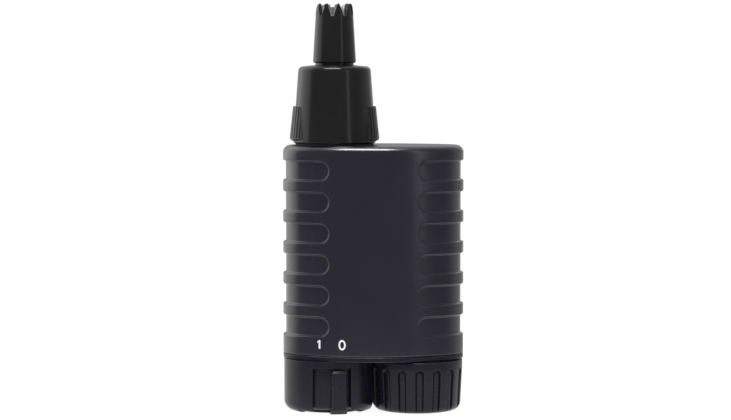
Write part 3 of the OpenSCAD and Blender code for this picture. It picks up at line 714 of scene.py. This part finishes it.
    def _neck(self, mesh: bmesh.types.BMesh) -> None:
        """Adds the threaded neck and the seal's seat, and closes the shell round them."""
        outer, inner, ease = self.neck_radius, self.neck_radius - self.neck_wall, self.neck_ease
        rim, ceiling = self.top + self.neck_height, self.top - self.wall
        seat = ceiling + self.seal_floor
        path = [(outer, self.top), (outer, rim - ease), (outer - ease, rim), (inner + ease, rim),
                (inner, rim - ease), (inner, self.top), (self.seal_radius, self.top),
                (self.seal_radius, seat), (self.shaft_hole, seat), (self.shaft_hole, ceiling)]
        spin_path(mesh, path, self.head_axis)
        for height, up in ((self.top, 1), (ceiling, -1)):
            edges = [e for e in open_edges(mesh)
                     if all(abs(v.co.z - height) < MERGE for v in e.verts)]
            bmesh.ops.triangle_fill(mesh, edges=edges, use_beauty=True, normal=(0, 0, up))
        Thread(outer - self.thread_sunk, outer + self.thread_proud, self.top + self.thread_foot,
               self.neck_lead, self.thread_starts).cut(mesh, self.head_axis)

    def build(self, finishes: Finishes) -> bpy.types.Object:
        """Makes the shell piece, which stands for the CAD one.

        Args:
            finishes: The trimmer's finishes.

        Returns:
            The piece.
        """
        piece = to_piece("body_shell_skin", self.mesh(), "housing", "body_plastic", finishes)
        shade = piece.modifiers.new("shade", "WEIGHTED_NORMAL")
        shade.weight = 80
        shade.keep_sharp = True
        return piece


@dataclass
class BatteryCap:
    """Fluted screw cap with soft-edged flutes. Millimetres.

    Attributes:
        centre: Place of its axis across the width.
        radius: Outer radius.
        top: Height of its upper edge.
        draft: Narrowing towards the bottom.
        bottom_round: Round of the bottom edge.
        floor: Thickness of the floor.
        wall: Wall of the skirt.
        dish: Radius and depth of the dished bottom.
        dish_ease: Ease of the dish's edge.
        rim_round: Width and height of the softened upper edge.
        rim_ease: How far the middle of that softening stands back.
        flutes: Number of flutes.
        flute_section: Distances from a flute's middle, out to its mouth, and its depths there; a
            groove runs down each side of its floor.
        flute_top: Height of the flutes' upper ends.
        low_rows: Heights of the mesh's rows along the flutes.
        end_rows: Reach below flute_top, spacing and number of the close rows at their ends.
        high_rows: Heights of the rows above them.
        land_columns: Distances from a flute's middle of the columns on the plain land.
        first: Angle of the first flute in degrees from the front.
        lead: Lead of the thread inside.
        thread_starts: Ridges of the thread.
        thread_foot: Height of their lower end.
        thread_sunk: How far the ridges reach into the skirt.
        thread_proud: How far they stand into the bore.
        thread_shift: Travel by which they are turned back from Thread.first.
    """

    centre: float
    radius: float
    top: float
    draft: float = 0.5
    bottom_round: float = 2.3
    floor: float = 2.4
    wall: float = 1.5
    dish: tuple[float, float] = (6.0, 0.4)
    dish_ease: float = 0.1
    rim_round: float = 0.2
    rim_ease: float = 0.06
    flutes: int = 16
    flute_section: tuple[tuple[float, float], ...] = (
        (0.0, 0.40), (0.60, 0.40), (0.67, 0.46), (0.78, 0.82), (0.89, 0.88), (1.01, 0.86),
        (1.11, 0.25), (1.16, 0.04), (1.22, 0.0))
    flute_top: float = 11.7
    low_rows: tuple[float, ...] = (3.2, 4.5, 6.0, 7.5, 9.0, 9.8)
    end_rows: tuple[float, float, int] = (1.3, 0.12, 13)
    high_rows: tuple[float, ...] = (12.4, 13.0)
    land_columns: tuple[float, ...] = (1.3, 1.45, 1.7, 2.0)
    first: float = 3.0
    lead: float = 16.0
    thread_starts: int = 4
    thread_foot: float = 7.2
    thread_sunk: float = 0.35
    thread_proud: float = 0.8
    thread_shift: float = 1.55

    def _wall(self, height: float) -> float:
        """Radius of the plain side at a height."""
        fall = (self.flute_top - height) / (self.flute_top - self.bottom_round)
        return self.radius - self.draft * max(0.0, fall)

    def _outside(self) -> list[tuple[float, float]]:
        """Half section of the outside, from the middle of the bottom to the upper edge."""
        dish, depth = self.dish
        low = self.radius - self.draft
        bottom = [(0, depth), (dish - self.dish_ease, depth), (dish, depth - self.dish_ease),
                  (dish, 0)]
        turns = [math.pi / 2 * k / 10 for k in range(11)]
        curve = [(low - self.bottom_round * (1 - math.sin(a)),
                  self.bottom_round * (1 - math.cos(a))) for a in turns]
        reach, spacing, count = self.end_rows
        ends = [self.flute_top - reach + spacing * k for k in range(count)]
        side = [(self._wall(z), z) for z in (*self.low_rows, *ends, *self.high_rows)]
        rim = [(self.radius, self.top - self.rim_round),
               (self.radius - self.rim_ease, self.top - self.rim_ease),
               (self.radius - self.rim_round, self.top)]
        return bottom + curve + side + rim

    def _columns(self) -> list[float]:
        """Angles of the mesh's columns across one flute and half the land on each side of it."""
        half = [0.0, 0.2, *(place for place, _ in self.flute_section[1:]), *self.land_columns]
        angles = [math.asin(place / self.radius) for place in half] + [math.pi / self.flutes]
        return [-angle for angle in reversed(angles[1:])] + angles

    def _sunk(self, distance: float) -> float:
        """Depth of a flute at a distance from its middle line."""
        for (near, start), (far, end) in zip(self.flute_section, self.flute_section[1:]):
            if distance < far:
                return start + (end - start) * (distance - near) / (far - near)
        return 0.0

    def _press(self, mesh: bmesh.types.BMesh) -> None:
        """Presses the flute into a sector's outside."""
        mouth = self.flute_section[-1][0]
        for vert in mesh.verts:
            across = self.radius * math.sin(math.atan2(vert.co.y, vert.co.x))
            beyond = max(0.0, vert.co.z - (self.flute_top - mouth))
            radius = math.hypot(vert.co.x, vert.co.y)
            limit = self._wall(vert.co.z) - self._sunk(math.hypot(across, beyond))
            if radius > limit:
                vert.co.x, vert.co.y = vert.co.x * limit / radius, vert.co.y * limit / radius

    def mesh(self) -> bmesh.types.BMesh:
        """The whole cap.

        Returns:
            A closed shape, in millimetres.
        """
        mesh = bmesh.new()
        columns = self._columns()
        turned = Matrix.Rotation(columns[0], 3, "Z")
        verts = [mesh.verts.new(turned @ Vector((r, 0, z))) for r, z in self._outside()]
        edges = [mesh.edges.new(pair) for pair in zip(verts, verts[1:])]
        for angle, following in zip(columns, columns[1:]):
            made = bmesh.ops.extrude_edge_only(mesh, edges=edges)["geom"]
            edges = pick(made, bmesh.types.BMEdge)
            bmesh.ops.rotate(mesh, verts=pick(made, bmesh.types.BMVert), cent=(0, 0, 0),
                             matrix=Matrix.Rotation(following - angle, 3, "Z"))
        self._press(mesh)
        bmesh.ops.rotate(mesh, verts=mesh.verts, cent=(0, 0, 0),
                         matrix=Matrix.Rotation(math.radians(self.first - 90), 3, "Z"))
        bmesh.ops.spin(mesh, geom=everything(mesh), cent=(0, 0, 0), axis=(0, 0, 1),
                       dvec=(0, 0, 0), angle=2 * math.pi, steps=self.flutes, use_merge=False,
                       use_duplicate=True)
        bmesh.ops.remove_doubles(mesh, verts=mesh.verts, dist=2 * MERGE)
        self._hollow(mesh)
        return mesh

    def _hollow(self, mesh: bmesh.types.BMesh) -> None:
        """Adds the upper rim, the bore with its thread, and the floor inside."""
        bore = self.radius - self.wall
        radius = self.radius - self.rim_round
        for target, drop in ((bore, 0.0), (bore, self.floor - self.top)):
            made = bmesh.ops.extrude_edge_only(mesh, edges=open_edges(mesh))["geom"]
            verts = pick(made, bmesh.types.BMVert)
            bmesh.ops.scale(mesh, vec=(target / radius, target / radius, 1), verts=verts)
            bmesh.ops.translate(mesh, vec=(0, 0, drop), verts=verts)
            radius = target
        bmesh.ops.holes_fill(mesh, edges=open_edges(mesh))
        first = Thread.first - 360 * self.thread_shift / self.lead
        Thread(bore - self.thread_proud, bore + self.thread_sunk, self.thread_foot, self.lead,
               self.thread_starts, first).cut(mesh)

    def build(self, slot: str, finishes: Finishes) -> bpy.types.Object:
        """Makes the cap piece, which stands for the CAD one.

        Args:
            slot: The record's material slot.
            finishes: The trimmer's finishes.

        Returns:
            The cap.
        """
        mesh = self.mesh()
        bmesh.ops.translate(mesh, vec=(self.centre, 0, 0), verts=mesh.verts)
        cap = to_piece("battery_cap_skin", mesh, "cap", slot, finishes)
        dress(cap, finishes["base_plastic"])
        return cap


@dataclass
class Marks:
    """Switch digits printed on the lower band of the shell. Millimetres.

    Attributes:
        oval: Plan outline they lie on.
        height: Height of the digits' middle.
        one_at: Place of the 1 across the front.
        nought_at: Place of the 0 across the front.
        stand: Thickness of the ink.
        one_outline: Corners of the 1, across and up from its middle.
        nought_size: Width and height of the 0.
        nought_stroke: Width of its line.
        nought_steps: Facets round it.
    """

    oval: Oval
    height: float = 18.5
    one_at: float = -14.15
    nought_at: float = -8.2
    stand: float = 0.03
    one_outline: tuple[tuple[float, float], ...] = (
        (0.25, -1.15), (0.25, 1.15), (-0.1, 1.15), (-0.62, 0.765), (-0.62, 0.315),
        (-0.25, 0.565), (-0.25, -1.15))
    nought_size: tuple[float, float] = (1.95, 2.7)
    nought_stroke: float = 0.45
    nought_steps: int = 40

    def _one(self) -> bmesh.types.BMesh:
        """A plain 1 with a short flag, flat."""
        mesh = bmesh.new()
        mesh.faces.new([mesh.verts.new((x, 0, z)) for x, z in self.one_outline])
        return mesh

    def _nought(self) -> bmesh.types.BMesh:
        """A plain oval 0, flat."""
        mesh = bmesh.new()
        for inward in (0.0, 2 * self.nought_stroke):
            made = bmesh.ops.create_circle(mesh, segments=self.nought_steps, radius=0.5)
            wide, tall = (size - inward for size in self.nought_size)
            bmesh.ops.scale(mesh, vec=(wide, tall, 1), verts=made["verts"])
        bmesh.ops.bridge_loops(mesh, edges=mesh.edges)
        bmesh.ops.rotate(mesh, verts=mesh.verts, matrix=Matrix.Rotation(math.pi / 2, 3, "X"))
        return mesh

    def _print(self, name: str, mesh: bmesh.types.BMesh, across: float,
               finishes: Finishes) -> None:
        """Thickens a flat digit, lays it on the shell and makes it a piece."""
        made = bmesh.ops.extrude_face_region(mesh, geom=mesh.faces[:])
        bmesh.ops.translate(mesh, verts=pick(made["geom"], bmesh.types.BMVert),
                            vec=(0, -self.stand, 0))
        bmesh.ops.translate(mesh, verts=mesh.verts, vec=(self.oval.along(across), 0, self.height))
        self.oval.wrap(mesh)
        to_piece(name, mesh, "housing", "print_white", finishes)

    def build(self, finishes: Finishes) -> None:
        """Makes both digits."""
        self._print("mark_one", self._one(), self.one_at, finishes)
        self._print("mark_nought", self._nought(), self.nought_at, finishes)


@dataclass(frozen=True)
class Lamp:
    """Rectangular lamp that faces the trimmer. Metres.

    Attributes:
        name: The lamp's name.
        place: Its place.
        size: Width and height.
        radiance: How bright its face looks, where 1 is white.
    """

    name: str
    place: tuple[float, float, float]
    size: tuple[float, float]
    radiance: float

    def build(self, aim: Vector) -> None:
        """Adds the lamp, turned towards a point."""
        data = bpy.data.lights.new(self.name, "AREA")
        data.shape = "RECTANGLE"
        data.size, data.size_y = self.size
        data.energy = self.radiance * math.pi * self.size[0] * self.size[1]
        lamp = bpy.data.objects.new(self.name, data)
        lamp.location = self.place
        lamp.rotation_euler = (aim - Vector(self.place)).to_track_quat("-Z", "Y").to_euler()
        lamp.visible_camera = False
        bpy.context.scene.collection.objects.link(lamp)


@dataclass
class Studio:
    """Camera, lamps, floor and white surround. Metres.

    Attributes:
        distance: Distance of the camera from the trimmer.
        eye: Height of the camera.
        aim: Point that the camera looks at.
        lens: Focal length in millimetres.
        sensor: Width of the camera's sensor in millimetres.
        lamps: The lamps.
        lamp_aim: Point that the lamps face.
        room: Brightness of the room in front, as reflections see it.
        room_turn: Depths of a direction between which the room turns into the white backdrop.
        far_dim: How much dimmer the middle of the backdrop is in reflections.
        far_turn: Depths of a direction between which the backdrop dims.
        right_dim: How much dimmer the right side is in reflections.
        right_turn: Breadths of a direction between which the right side dims.
        painted_pool_reach: Distances between which a painted pool of light brightens the floor
            towards the trimmer, as reflections see it.
        painted_pool_level: How bright that painted pool of light gets there.
        fill: Brightness of the surround on matt surfaces.
        floor_half: Half width of the floor.
        paper: Colour of the floor.
        floor_glow: Brightness of the floor's own white, as seen directly.
        glow_share: Share of that white in the floor's look.
    """

    distance: float = 0.66
    eye: float = 0.092
    aim: Vector = field(default_factory=lambda: Vector((-0.00208, 0, 0.0532)))
    lens: float = 122.3
    sensor: float = 36.0
    lamps: tuple[Lamp, ...] = (
        Lamp("overhead", (-0.09, -0.40, 1.1), (0.7, 0.34), 19.0),
        Lamp("right_strip", (0.67, -0.74, 0.25), (0.14, 1.2), 1.2),
        Lamp("left_panel", (-0.95, 0.30, 0.35), (1.15, 1.4), 0.85))
    lamp_aim: tuple[float, float, float] = (0, 0, 0.06)
    room: float = 0.15
    room_turn: tuple[float, float] = (-0.35, 0.3)
    far_dim: float = 0.7
    far_turn: tuple[float, float] = (0.88, 0.97)
    right_dim: float = 0.6
    right_turn: tuple[float, float] = (0.35, 0.65)
    painted_pool_reach: tuple[float, float] = (0.095, 0.065)
    painted_pool_level: float = 0.85
    fill: float = 0.45
    floor_half: float = 6.0
    paper: tuple[float, float, float] = (0.85, 0.85, 0.85)
    floor_glow: float = 1.15
    glow_share: float = 0.8

    def _camera(self) -> None:
        """Adds the camera."""
        data = bpy.data.cameras.new("camera")
        data.lens = self.lens
        data.sensor_width = self.sensor
        data.clip_start = 0.01
        camera = bpy.data.objects.new("camera", data)
        camera.location = (self.aim.x, -self.distance, self.eye)
        camera.rotation_euler = (self.aim - camera.location).to_track_quat("-Z", "Y").to_euler()
        bpy.context.scene.collection.objects.link(camera)
        bpy.context.scene.camera = camera

    def _room_level(self, graph: Graph, direction: Signal) -> Signal:
        """Brightness in a direction: dim before and behind the trimmer, white at its sides."""
        across = graph.node("ShaderNodeSeparateXYZ", {}, {0: direction}, out="X")
        depth = graph.node("ShaderNodeSeparateXYZ", {}, {0: direction}, out="Y")
        sides = graph.ramp(depth, *self.room_turn)
        sides = sides * (1 - self.far_dim * graph.ramp(depth, *self.far_turn))
        sides = sides * (1 - self.right_dim * graph.ramp(across, *self.right_turn))
        return self.room + (1 - self.room) * sides

    def _floor(self) -> None:
        """Adds the white floor, which keeps a soft shadow."""
        mesh = bmesh.new()
        bmesh.ops.create_grid(mesh, x_segments=1, y_segments=1, size=self.floor_half)
        data = bpy.data.meshes.new("floor")
        mesh.to_mesh(data)
        mesh.free()
        floor = bpy.data.objects.new("floor", data)
        bpy.context.scene.collection.objects.link(floor)
        material = bpy.data.materials.new("floor_paper")
        material.use_nodes = True
        graph = Graph(material.node_tree)
        place = graph.node("ShaderNodeTexCoord", out="Object")
        away = graph.node("ShaderNodeVectorMath", {"operation": "NORMALIZE"}, {0: place})
        reach = graph.node("ShaderNodeVectorMath", {"operation": "LENGTH"}, {0: place}, out="Value")
        # Painted reflection light: for glossy rays the floor glows dim in front and behind, white
        # at the sides, and a painted pool of light brightens it near the trimmer; camera rays see
        # it evenly white.
        near = self.painted_pool_level * graph.ramp(reach, *self.painted_pool_reach)
        glossy = graph.ray("Glossy")
        room = near + (1 - near) * self._room_level(graph, away)
        level = self.floor_glow * (1 - glossy + glossy * room)
        paper = graph.node("ShaderNodeBsdfDiffuse", {}, {"Color": (*self.paper, 1)})
        glow = graph.node("ShaderNodeEmission", {}, {"Color": (1, 1, 1, 1), "Strength": level})
        share = graph.seen_directly() * (self.glow_share + (1 - self.glow_share) * glossy)
        mix = graph.node("ShaderNodeMixShader", {}, {0: share, 1: paper, 2: glow})
        graph.node("ShaderNodeOutputMaterial", {}, {"Surface": mix})
        dress(floor, material)

    def _surround(self) -> None:
        """Sets the world: white backdrop, a dim room in front, soft fill on matt surfaces."""
        world = bpy.data.worlds.new("studio")
        world.use_nodes = True
        bpy.context.scene.world = world
        graph = Graph(world.node_tree)
        room = self._room_level(graph, graph.node("ShaderNodeTexCoord", out="Generated"))
        direct, glossy = graph.ray("Camera") + graph.ray("Transmission"), graph.ray("Glossy")
        level = direct + glossy * room + (1 - direct - glossy) * self.fill
        back = graph.node("ShaderNodeBackground", {}, {"Color": (1, 1, 1, 1), "Strength": level})
        graph.node("ShaderNodeOutputWorld", {}, {"Surface": back})

    def build(self) -> None:
        """Makes the whole studio."""
        self._camera()
        for lamp in self.lamps:
            lamp.build(Vector(self.lamp_aim))
        self._floor()
        self._surround()
        bpy.context.scene.view_settings.view_transform = "Standard"
        log.info("studio: camera %.0f mm away", self.distance / MM)


class Trimmer:
    """The whole trimmer, piece by piece."""

    BASE_NODES = ("base_housing", "switch_knob", "battery_cap")     # in a slightly duller grade
    HALF_DEPTH = 14.0           # of the body's oval, in millimetres
    END_RADIUS = 9.5            # of its narrow ends
    SHELL_TOP = 70.6            # height of the shell's upper face

    def __init__(self, packed: dict) -> None:
        """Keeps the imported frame.
        """
        self.nodes = packed["nodes"]
        self.record = packed["record"]
        self.finishes = Finishes({entry["slot"] for entry in self.record["materials"]})
        self.slots = {part["node"]: part["material_slot"] for part in self.record["subparts"]}

    @staticmethod
    def _axis(node: str) -> float:
        """Middle of a node across the width, in millimetres."""
        low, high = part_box(node)
        return (low.x + high.x) / 2 / MM

    def dress_nodes(self) -> None:
        """Gives every CAD node the finish of its slot."""
        for node, slot in self.slots.items():
            finish = "base_plastic" if node in self.BASE_NODES else slot
            dress(self.nodes[node], self.finishes[finish])
            log.info("%s: %s", node, finish)

    def build(self) -> None:
        """Makes the outer pieces and dresses the rest."""
        self.dress_nodes()
        half_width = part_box("base_housing")[1].x / MM
        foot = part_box("body_shell")[0].z / MM
        oval = Oval(half_width, self.HALF_DEPTH, self.END_RADIUS)
        shell = BodyShell(oval, foot, self.SHELL_TOP, self._axis("neck_gasket"))
        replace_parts(shell.build(self.finishes), "body_shell")
        cap_low, cap_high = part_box("battery_cap")
        cap_radius = (cap_high.x - cap_low.x) / 2 / MM
        cap = BatteryCap(self._axis("battery_cap"), cap_radius, cap_high.z / MM)
        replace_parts(cap.build(self.slots["battery_cap"], self.finishes), "battery_cap")
        Marks(oval).build(self.finishes)


def main() -> None:
    """Builds the trimmer and its studio."""
    logging.basicConfig(level=logging.INFO, format="%(name)s: %(message)s")
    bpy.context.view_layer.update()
    Trimmer(frame).build()
    Studio().build()


if __name__ == "__main__":
    main()
